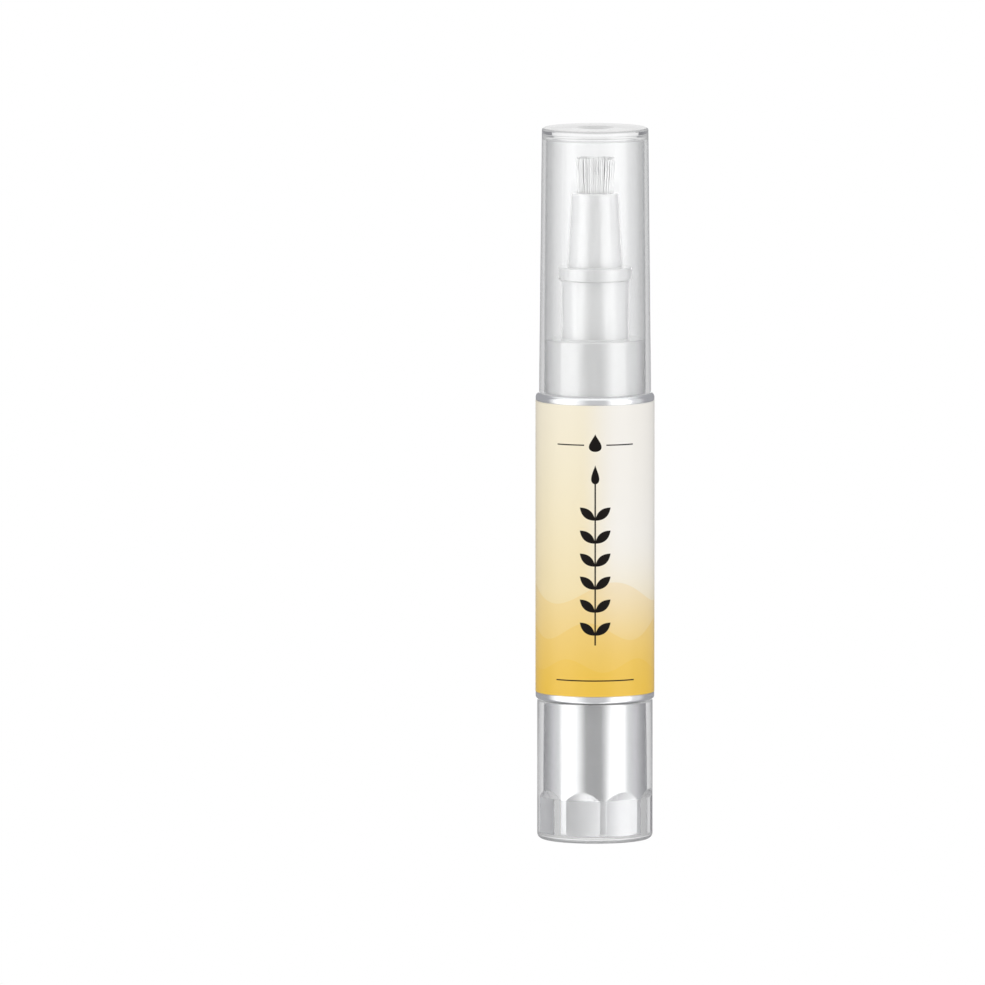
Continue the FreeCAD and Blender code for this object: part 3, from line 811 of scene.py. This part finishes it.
class OILPEN_OT_cap(bpy.types.Operator):
    """Model the clear pull-off cap."""

    bl_idname = "oilpen.cap"
    bl_label = "Cap"

    def execute(self, context):
        cap = context.scene.oilpen_cap
        foot, top = foot_of("cap_shell"), top_of("cap_shell")
        ceiling = top - cap.ceiling
        ceiling_rounding = 0.7 * MM
        top_rounding = 0.35 * MM
        dish_run = 5 * cap.dimple_depth
        piece = spun(
            "cap",
            (0, ceiling),
            (cap.bore - cap.inner_draft, ceiling, ceiling_rounding),
            (cap.bore, foot + cap.guide),
            (cap.bore, foot, FINE_EDGE),
            (cap.mouth, foot, SMALL_EDGE),
            (cap.mouth - cap.draft, top, top_rounding),
            (cap.dimple, top, THIN_EDGE),
            (cap.dimple - dish_run, top - cap.dimple_depth, SOFT_EDGE),
            (0, top - cap.dimple_depth),
        )
        # glow sets the strength of the painted glow in the clear plastic
        clear = finish_of("polished_clear", clear_plastic, cap.tint, glow=0.68)
        seat(soften(piece), "cap", "clear_plastic", clear, "cap_shell")
        return {"FINISHED"}


class OILPEN_OT_neck(bpy.types.Operator):
    """Model the neck fitting with its cap seat, and the nozzle."""

    bl_idname = "oilpen.neck"
    bl_label = "Neck and nozzle"

    def execute(self, context):
        tip = context.scene.oilpen_tip
        plug_foot, neck_top = foot_of("neck_fitting"), top_of("neck_fitting")
        ledge = plug_foot + tip.plug_depth
        shoulder_top = ledge + tip.shoulder_height
        seat_top = shoulder_top + tip.seat_top
        spigot_foot = foot_of("nozzle")
        neck = spun(
            "neck",
            (tip.plug - tip.funnel_wall, plug_foot),
            (tip.plug, plug_foot, SMALL_EDGE),
            (tip.plug, ledge),
            (tip.shoulder, ledge),
            (tip.shoulder, shoulder_top),
            (tip.seat, shoulder_top),
            (tip.seat, seat_top, ROUND_EDGE),
            (tip.neck, seat_top, SOFT_EDGE),
            (tip.neck, neck_top, FINE_EDGE),
            (tip.neck_bore, neck_top),
            (tip.neck_bore, spigot_foot - tip.spigot_gap),
            (tip.channel, spigot_foot - tip.spigot_gap),
            (tip.channel, plug_foot + tip.funnel_height),
        )
        seat(soften(neck), "barrel", "natural_plastic", milky_plastic(), "neck_fitting")
        cone_top = top_of("nozzle")
        flange_top = neck_top + tip.flange_height
        brush_ledge = cone_top - tip.grip
        nozzle = spun(
            "brush_nozzle",
            (tip.retainer_bore, spigot_foot),
            (tip.spigot, spigot_foot, SMALL_EDGE),
            (tip.spigot, neck_top),
            (tip.flange, neck_top, SOFT_EDGE),
            (tip.flange, flange_top, SOFT_EDGE),
            (tip.cone_foot, flange_top, SMALL_EDGE),
            (tip.cone_tip, cone_top, SOFT_EDGE),
            (tip.brush_hole, cone_top, FINE_EDGE),
            (tip.brush_hole, brush_ledge),
            (tip.retainer_bore, brush_ledge),
        )
        seat(soften(nozzle), "barrel", "natural_plastic", milky_plastic(), "nozzle")
        return {"FINISHED"}


class OILPEN_OT_brush(bpy.types.Operator):
    """Model the brush tuft, filament by filament, on its fused foot."""

    bl_idname = "oilpen.brush"
    bl_label = "Brush"

    def execute(self, context):
        tip = context.scene.oilpen_tip
        draws = random.Random(SEED)
        foot, top = foot_of("bristle_tuft"), top_of("bristle_tuft")
        mouth = top_of("nozzle")
        tube_top = top_of("feed_tube")
        inner = tip.feed_bore + tip.filament
        wall_gap = 1.5 * tip.filament
        outer = tip.brush_hole - wall_gap
        golden = math.pi * (3 - math.sqrt(5))
        rooted = 0.4 * MM
        closing = 1.2 * MM
        sway_reach = 0.12 * MM
        closed_share = 0.8
        bend_share = 0.4
        clumps = 3
        clump_twist = 4
        clump_share = 0.55
        tip_share = 0.7
        foot_gap = 0.02 * MM
        line = bpy.data.curves.new("filaments", "CURVE")
        line.dimensions = "3D"
        line.bevel_depth = tip.filament
        line.bevel_resolution = 1
        line.resolution_u = 2
        line.use_fill_caps = True
        for i in range(tip.filaments):
            part = (i + 0.5) / tip.filaments
            radius = math.sqrt(inner**2 + (outer**2 - inner**2) * part)
            angle = i * golden
            out = Vector((math.cos(angle), math.sin(angle), 0))
            spread = 1 + tip.flare / outer * (radius / outer)
            closed = max(0.0, 1 - (radius - inner) / closing)
            end = radius * spread - closed * closed_share * inner
            sway = Vector((draws.uniform(-1, 1), draws.uniform(-1, 1), 0)) * sway_reach
            clump = 0.5 + 0.5 * math.sin(clumps * angle + clump_twist * radius / outer)
            uneven = clump_share * clump + (1 - clump_share) * draws.random()
            tip_height = top - tip.ragged * uneven
            places = (
                out * radius + Vector((0, 0, foot + rooted)),
                out * radius + Vector((0, 0, mouth)),
                out * (radius + bend_share * (end - radius)) + sway / 2 + Vector((0, 0, tube_top)),
                out * end + sway + Vector((0, 0, tip_height)),
            )
            spline = line.splines.new("NURBS")
            spline.points.add(len(places) - 1)
            for point, place in zip(spline.points, places):
                point.co = (*place, 1.0)
            spline.points[-1].radius = tip_share
            spline.use_endpoint_u = True
            spline.order_u = 3
        tuft = bpy.data.objects.new("filaments", line)
        context.scene.collection.objects.link(tuft)
        make_active(tuft)
        bpy.ops.object.convert(target="MESH")
        tuft = context.object
        bpy.ops.object.mode_set(mode="EDIT")
        soften(tidy(tuft))
        base = spun(
            "brush_tuft",
            (tip.feed_bore, foot),
            (tip.retainer_bore - foot_gap, foot, FINE_EDGE),
            (tip.retainer_bore - foot_gap, foot + tip.brush_foot, FINE_EDGE),
            (tip.feed_bore, foot + tip.brush_foot),
        )
        soften(base)
        tuft.select_set(True)
        bpy.ops.object.join()
        nylon = finish_of("brush_nylon", thin_nylon, tip.nylon)
        seat(base, "barrel", "bristles", nylon, "bristle_tuft")
        return {"FINISHED"}


class OILPEN_OT_rings(bpy.types.Operator):
    """Model the bright rings at both ends of the barrel."""

    bl_idname = "oilpen.rings"
    bl_label = "Rings"

    def execute(self, context):
        barrel = context.scene.oilpen_barrel
        bright = finish_of(
            "bright_silver", metal, barrel.silver, lines=9000.0, roughness=0.16, spread=0.08, strength=0.08
        )
        foot, top = foot_of("front_ring"), top_of("front_ring")
        lip = top - barrel.front_lip_height
        front = spun(
            "ring_front",
            (barrel.front_lip, lip),
            (barrel.front_bore, lip),
            (barrel.front_bore, foot),
            (barrel.ring, foot, HAIR_EDGE),
            (barrel.ring, top, barrel.front_rounding),
            (barrel.front_lip, top, FINE_EDGE),
        )
        seat(soften(front), "barrel", "bright_ring", bright, "front_ring")
        foot, top = foot_of("rear_ring"), top_of("rear_ring")
        rear = spun(
            "ring_rear",
            (barrel.rear_bore, foot),
            (barrel.ring, foot, barrel.rear_rounding),
            (barrel.ring, top, HAIR_EDGE),
            (barrel.rear_bore, top),
        )
        seat(soften(rear), "barrel", "bright_ring", bright, "rear_ring")
        return {"FINISHED"}


class OILPEN_OT_label(bpy.types.Operator):
    """Model the printed film round the barrel, with its butt seam at the back."""

    bl_idname = "oilpen.label"
    bl_label = "Label"

    def execute(self, context):
        barrel = context.scene.oilpen_barrel
        foot, top = foot_of("label_wrap"), top_of("label_wrap")
        half_seam = barrel.seam / barrel.label / 2
        start = math.pi / 2 + half_seam
        edge = Vector((math.cos(start), math.sin(start), 0)) * barrel.label
        piece = draw("label", (edge + Vector((0, 0, foot)), edge + Vector((0, 0, top))))
        bpy.ops.mesh.select_all(action="SELECT")
        bpy.ops.mesh.spin(
            steps=SPIN_STEPS, angle=FULL_TURN - 2 * half_seam, center=(0, 0, 0), axis=(0, 0, 1)
        )
        bpy.ops.object.mode_set(mode="OBJECT")
        side = piece.data.polygons[0]
        if side.normal.dot(side.center) < 0:
            bpy.ops.object.mode_set(mode="EDIT")
            bpy.ops.mesh.select_all(action="SELECT")
            bpy.ops.mesh.flip_normals()
            bpy.ops.object.mode_set(mode="OBJECT")
        apply_modifier(piece, "SOLIDIFY", thickness=barrel.film, offset=-1.0)
        seat(soften(piece), "barrel", "label_film", printed_film(barrel), "label_wrap")
        return {"FINISHED"}


class OILPEN_OT_knob(bpy.types.Operator):
    """Model the clear knob shell and the silver insert with its many-sided key."""

    bl_idname = "oilpen.knob"
    bl_label = "Knob"

    def execute(self, context):
        knob = context.scene.oilpen_knob
        top = top_of("knob_shell")
        shell = spun(
            "knob",
            (0, 0),
            (knob.outer, 0, knob.foot_rounding),
            (knob.outer, top, SOFT_EDGE),
            (knob.bore, top, FINE_EDGE),
            (knob.bore, knob.floor),
            (0, knob.floor),
        )
        flat = knob.insert - knob.flat_depth + knob.flat_gap
        wall_sink = 0.3 * MM
        floor_sink = 0.4 * MM
        bosses = key_blocks("bosses", knob, flat, knob.bore + wall_sink, knob.floor - floor_sink)
        combine(shell, bosses, "UNION")
        # glow sets the strength of the painted glow in the clear plastic
        clear = finish_of("knob_clear", clear_plastic, context.scene.oilpen_cap.tint, glow=0.6)
        seat(soften(shell, FACET_ANGLE), "knob", "clear_plastic", clear, "knob_shell")

        foot, top = foot_of("knob_insert"), top_of("knob_insert")
        spring_seat = foot + knob.spring_seat
        foot_rounding = 0.45 * MM
        insert = spun(
            "knob_core",
            (0, foot),
            (knob.insert, foot, foot_rounding),
            (knob.insert, top, THIN_EDGE),
            (knob.insert_bore, top, FINE_EDGE),
            (knob.insert_bore, spring_seat),
            (0, spring_seat),
        )
        flat = knob.insert - knob.flat_depth
        combine(insert, key_blocks("flats", knob, flat, knob.outer, foot - MM), "DIFFERENCE")
        floor = foot + knob.socket_floor
        socket = spun(
            "socket", (0, floor), (knob.socket, floor), (knob.socket, spring_seat + MM), (0, spring_seat + MM)
        )
        width = Vector((knob.socket_flat, knob.outer, 0))
        low, high = Vector((0, 0, floor - MM)), Vector((0, 0, spring_seat + 2 * MM))
        combine(socket, block("slab", low - width, high + width), "INTERSECT")
        combine(insert, socket, "DIFFERENCE")
        half = knob.keyway_width / 2
        reach = knob.insert_bore + knob.keyway_depth
        keyway = block(
            "keyway",
            Vector((knob.insert_bore - MM, -half, top - knob.keyway_length)),
            Vector((reach, half, top + MM)),
        )
        combine(insert, spread_round(keyway, knob.keyways, 0.0), "DIFFERENCE")
        silver = finish_of("satin_silver", plated, knob.silver, foot + knob.key_height)
        apply_modifier(
            insert, "BEVEL", width=FINE_EDGE, segments=3, limit_method="ANGLE", angle_limit=FACET_ANGLE
        )
        seat(soften(insert, FACET_ANGLE), "knob", "silver_plating", silver, "knob_insert")
        return {"FINISHED"}


def threaded(name, crest, root, foot, top, lead):
    """Threaded round bar between two heights. Bars of one lead share their phase, so they mesh."""
    spare_turns = 2
    start = (math.floor(foot / lead) - spare_turns) * lead
    # Radius, and share of the lead, at each corner of one turn
    profile = ((root, 0.0), (root, 0.2), (crest, 0.42), (crest, 0.62), (root, 0.84), (root, 1.0))
    piece = draw(name, [Vector((radius, 0, start + part * lead)) for radius, part in profile])
    bpy.ops.object.mode_set(mode="OBJECT")
    apply_modifier(
        piece, "SCREW", angle=FULL_TURN, screw_offset=lead, steps=THREAD_STEPS, render_steps=THREAD_STEPS,
        iterations=math.ceil((top - start) / lead) + spare_turns,
    )
    bpy.ops.object.mode_set(mode="EDIT")
    bpy.ops.mesh.select_all(action="SELECT")
    bpy.ops.mesh.remove_doubles(threshold=MERGE_DISTANCE)
    cut_away(Vector((0, 0, foot)), Vector((0, 0, -1)))
    cut_away(Vector((0, 0, top)), Vector((0, 0, 1)))
    return tidy(piece)


def cut_away(place, direction):
    """In edit mode, cut off all that lies beyond a plane and close the cut."""
    bpy.ops.mesh.select_all(action="SELECT")
    bpy.ops.mesh.bisect(
        plane_co=place, plane_no=direction, use_fill=True, clear_outer=True, threshold=0.1 * MERGE_DISTANCE
    )


def coiled(name, radius, wire, start, rise, turns):
    """Open tube of round wire, wound upwards for whole turns about the axis."""
    bpy.ops.object.select_all(action="DESELECT")
    bpy.ops.mesh.primitive_circle_add(
        vertices=WIRE_SIDES, radius=wire, location=(radius, 0, start), rotation=(math.pi / 2, 0, 0)
    )
    piece = bpy.context.object
    piece.name = piece.data.name = name
    bpy.ops.object.transform_apply(location=True, rotation=True, scale=True)
    apply_modifier(
        piece, "SCREW", angle=FULL_TURN, screw_offset=rise, steps=THREAD_STEPS, render_steps=THREAD_STEPS,
        iterations=turns,
    )
    return piece


class OILPEN_OT_drive(bpy.types.Operator):
    """Model the threaded rod with its flats, the nut that it screws through and the click spring."""

    bl_idname = "oilpen.drive"
    bl_label = "Screw and spring"

    def execute(self, context):
        drive = context.scene.oilpen_drive
        foot, top = foot_of("screw_rod"), top_of("screw_rod")
        shoulder = top - drive.rod_head
        rod = threaded("screw", drive.crest, drive.root, foot, shoulder, drive.lead)
        bpy.ops.object.mode_set(mode="EDIT")
        for side in (1, -1):
            cut_away(Vector((side * drive.rod_flat, 0, 0)), Vector((side, 0, 0)))
        tidy(rod)
        neck_top = shoulder + drive.neck_height
        head = spun(
            "snap_head",
            (0, shoulder - drive.neck_height),
            (drive.neck_radius, shoulder - drive.neck_height),
            (drive.neck_radius, neck_top),
            (drive.head_radius, neck_top, FINE_EDGE),
            (drive.head_radius, top - drive.head_lead, FINE_EDGE),
            (drive.head_radius - drive.head_lead, top, FINE_EDGE),
            (0, top),
        )
        combine(rod, head, "UNION")
        seat(soften(rod), "rod", "drive_plastic", white_acetal(), "screw_rod")

        foot, top = foot_of("screw_nut"), top_of("screw_nut")
        nut = spun(
            "nut",
            (drive.nut_bore, foot),
            (drive.nut, foot, FINE_EDGE),
            (drive.nut, foot + drive.nut_flange, FINE_EDGE),
            (drive.nut_hub, foot + drive.nut_flange, SOFT_EDGE),
            (drive.nut_hub, top, FINE_EDGE),
            (drive.nut_bore, top),
        )
        crest, root = drive.crest + drive.play, drive.root + drive.play
        tap = threaded("tap", crest, root, foot - drive.lead, top + drive.lead, drive.lead)
        combine(nut, tap, "DIFFERENCE")
        seat(soften(nut), "barrel", "drive_plastic", white_acetal(), "screw_nut")

        low, high = foot_of("click_spring") + drive.wire, top_of("click_spring") - drive.wire
        closed_wires = 2.2
        closed = closed_wires * drive.wire
        rise = (high - low - 2 * closed) / drive.turns
        spring = coiled("spring", drive.coil, drive.wire, low, closed, 1)
        middle = coiled("spring_middle", drive.coil, drive.wire, low + closed, rise, drive.turns)
        last = coiled("spring_end", drive.coil, drive.wire, high - closed, closed, 1)
        make_active(spring)
        middle.select_set(True)
        last.select_set(True)
        bpy.ops.object.join()
        bpy.ops.object.mode_set(mode="EDIT")
        bpy.ops.mesh.select_all(action="SELECT")
        bpy.ops.mesh.remove_doubles(threshold=MERGE_DISTANCE)
        bpy.ops.mesh.fill_holes(sides=0)
        tidy(spring)
        steel = finish_of(
            "drawn_wire", metal, (0.7, 0.71, 0.72), lines=12000.0, roughness=0.28, spread=0.1, strength=0.1
        )
        seat(soften(spring), "knob", "spring_steel", steel, "click_spring")
        return {"FINISHED"}


class OILPEN_OT_inner(bpy.types.Operator):
    """Give the pieces hidden inside the barrel their finishes."""

    bl_idname = "oilpen.inner"
    bl_label = "Inner pieces"

    def execute(self, context):
        sleeve = finish_of(
            "drawn_sleeve", metal, (0.78, 0.79, 0.8), lines=7000.0, roughness=0.3, spread=0.1, strength=0.1
        )
        elastomer = finish_of(
            "soft_elastomer", grained, (0.8, 0.8, 0.77),
            scale=2400.0, roughness=0.6, spread=0.12, strength=0.2,
        )
        finishes = {
            "barrel_sleeve": sleeve,
            "reservoir_tube": milky_plastic(),
            "brush_retainer": milky_plastic(),
            "feed_tube": milky_plastic(),
            "piston": elastomer,
            "drive_sleeve": white_acetal(),
            "ratchet_ring": white_acetal(),
            "click_ring": white_acetal(),
        }
        for node, finish in finishes.items():
            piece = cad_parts[node]
            piece.data.materials.clear()
            piece.data.materials.append(finish)
        return {"FINISHED"}


def seen_mask(tree):
    """Mask of the rays that see the background, directly or straight through clear plastic."""
    path = add(tree, "ShaderNodeLightPath").outputs
    straight = calc(tree, "MAXIMUM", path["Is Camera Ray"], path["Is Transmission Ray"])
    bounced = calc(tree, "ADD", path["Glossy Depth"], path["Diffuse Depth"])
    return calc(tree, "MULTIPLY", straight, calc(tree, "LESS_THAN", bounced, 0.5))


def panels(tree, around, profile):
    """Colours around the studio. A stop is an angle from the front, in degrees, and a colour."""
    share = calc(tree, "MULTIPLY_ADD", around, 1 / FULL_TURN, 0.5)
    ramp = add(tree, "ShaderNodeValToRGB", {"Fac": share})
    stops = ramp.color_ramp.elements
    stops.remove(stops[1])
    stops[0].position = 0.0
    stops[0].color = profile[0][1]
    for degrees, shade in profile[1:]:
        stops.new(degrees / 360 + 0.5).color = shade
    return ramp.outputs["Color"]


def studio_world(stage):
    """Soft studio: bright boxes in front, dark flags at the sides, and white for all that is seen.

    A ray that goes out through clear plastic meets panels of its own, with a dim middle. One that was
    scattered behind the plastic meets the outer panels, at a raised strength. Behind the pen, rays
    through the plastic meet white, and so do reflections that go straight back.
    """
    world = bpy.data.worlds.new("studio")
    bpy.context.scene.world = world
    world.use_nodes = True
    tree = world.node_tree
    tree.nodes.clear()
    axes = split(tree, add(tree, "ShaderNodeTexCoord").outputs["Generated"])
    around = around_axis(tree, axes)
    box, soft, strip, dim = grey(stage.key), grey(stage.fill), grey(1.6), grey(0.2)
    flag, room, wing = opaque(stage.flags), opaque(stage.front), (0.76, 0.76, 0.78, 1.0)
    ceiling, white = grey(1.1), grey(1.0)
    raised = 1.1
    behind_from = math.radians(138)
    straight_from = math.radians(174)
    outside = panels(tree, around, (
        (-180, flag), (-104, flag), (-86, soft), (-74, box), (-50, box), (-36, soft), (-14, room),
        (20, room), (32, soft), (40, box), (70, box), (80, wing), (96, wing), (112, flag), (180, flag),
    ))
    inside = panels(tree, around, (
        (-180, flag), (-130, flag), (-96, wing), (-83, wing), (-78, strip), (-44, strip), (-20, dim),
        (14, dim), (38, strip), (68, strip), (74, wing), (92, wing), (124, flag), (180, flag),
    ))
    path = add(tree, "ShaderNodeLightPath").outputs
    through = path["Is Transmission Ray"]
    scattered = calc(tree, "GREATER_THAN", path["Diffuse Depth"], 0.5)
    lit_through = calc(tree, "MULTIPLY", through, scattered)
    panel = blend(tree, calc(tree, "SUBTRACT", through, lit_through), outside, inside)
    studio = blend(tree, smooth_step(tree, axes["Z"], low=0.55, high=0.85), panel, ceiling)
    aside = calc(tree, "ABSOLUTE", around)
    behind = calc(tree, "MULTIPLY", calc(tree, "GREATER_THAN", aside, behind_from), through)
    straight = calc(tree, "GREATER_THAN", aside, straight_from)
    behind = calc(tree, "MAXIMUM", behind, calc(tree, "MULTIPLY", straight, path["Is Glossy Ray"]))
    studio = blend(tree, behind, studio, white)
    seen = blend(tree, seen_mask(tree), studio, white)
    strength = calc(tree, "MULTIPLY_ADD", lit_through, raised, 1.0)
    light = add(tree, "ShaderNodeBackground", {"Color": seen, "Strength": strength})
    leave = add(tree, "ShaderNodeOutputWorld")
    tree.links.new(light.outputs[0], leave.inputs["Surface"])


def floor_finish():
    """Pale floor that shows as plain white to the camera and lights the pen as white card."""
    material, tree, shader = new_finish("pale_floor")
    shader.inputs["Base Color"].default_value = grey(0.8)
    shader.inputs["Roughness"].default_value = 0.9
    glow = add(tree, "ShaderNodeEmission", {"Color": grey(1.0)})
    mixed = add(
        tree, "ShaderNodeMixShader", {0: seen_mask(tree), 1: shader.outputs[0], 2: glow.outputs[0]}
    )
    tree.links.new(mixed.outputs[0], tree.nodes["Material Output"].inputs["Surface"])
    return material


class OILPEN_OT_stage(bpy.types.Operator):
    """Set up the pale floor, the soft studio light and the camera."""

    bl_idname = "oilpen.stage"
    bl_label = "Stage"

    def execute(self, context):
        stage = context.scene.oilpen_stage
        studio_world(stage)
        context.scene.view_settings.view_transform = "Standard"
        bpy.ops.object.select_all(action="DESELECT")
        bpy.ops.mesh.primitive_circle_add(vertices=FLOOR_SIDES, radius=stage.floor, fill_type="NGON")
        floor = context.object
        floor.name = "pale_floor"
        floor.data.materials.append(floor_finish())
        floor.visible_glossy = False
        floor.visible_transmission = False
        distance = stage.field * stage.lens / SENSOR_WIDTH
        away = Vector((0, -math.cos(stage.elevation), math.sin(stage.elevation)))
        target = Vector((-stage.aside, 0, stage.aim))
        bpy.ops.object.camera_add(location=target + away * distance)
        camera = context.object
        camera.rotation_euler = (math.pi / 2 - stage.elevation, 0, 0)
        camera.data.lens = stage.lens
        camera.data.sensor_width = SENSOR_WIDTH
        camera.data.clip_end = 4 * distance
        context.scene.camera = camera
        return {"FINISHED"}


OPERATORS = (
    OILPEN_OT_cap,
    OILPEN_OT_neck,
    OILPEN_OT_brush,
    OILPEN_OT_rings,
    OILPEN_OT_label,
    OILPEN_OT_knob,
    OILPEN_OT_drive,
    OILPEN_OT_inner,
    OILPEN_OT_stage,
)
SETTINGS = {
    "oilpen_cap": CapSettings,
    "oilpen_tip": TipSettings,
    "oilpen_barrel": BarrelSettings,
    "oilpen_knob": KnobSettings,
    "oilpen_drive": DriveSettings,
    "oilpen_stage": StageSettings,
}


class OILPEN_PT_sidebar(bpy.types.Panel):
    """Tools and settings of the pen, in the sidebar."""

    bl_idname = "OILPEN_PT_sidebar"
    bl_label = "Oil Pen"
    bl_space_type = "VIEW_3D"
    bl_region_type = "UI"
    bl_category = "Oil Pen"

    def draw(self, context):
        for operator in OPERATORS:
            self.layout.operator(operator.bl_idname)
        for name, settings in SETTINGS.items():
            box = self.layout.box()
            for key in settings.__annotations__:
                box.prop(getattr(context.scene, name), key)


def register():
    """Register the settings, the operators and the panel."""
    for name, settings in SETTINGS.items():
        bpy.utils.register_class(settings)
        setattr(bpy.types.Scene, name, bpy.props.PointerProperty(type=settings))
    for tool in (*OPERATORS, OILPEN_PT_sidebar):
        bpy.utils.register_class(tool)


def unregister():
    """Take back what register added."""
    for tool in reversed((*OPERATORS, OILPEN_PT_sidebar)):
        bpy.utils.unregister_class(tool)
    for name, settings in SETTINGS.items():
        delattr(bpy.types.Scene, name)
        bpy.utils.unregister_class(settings)


def main():
    """Build the pen and its stage."""
    register()
    bpy.ops.oilpen.cap()
    bpy.ops.oilpen.neck()
    bpy.ops.oilpen.brush()
    bpy.ops.oilpen.rings()
    bpy.ops.oilpen.label()
    bpy.ops.oilpen.knob()
    bpy.ops.oilpen.drive()
    bpy.ops.oilpen.inner()
    bpy.ops.oilpen.stage()


if __name__ == "__main__":
    main()
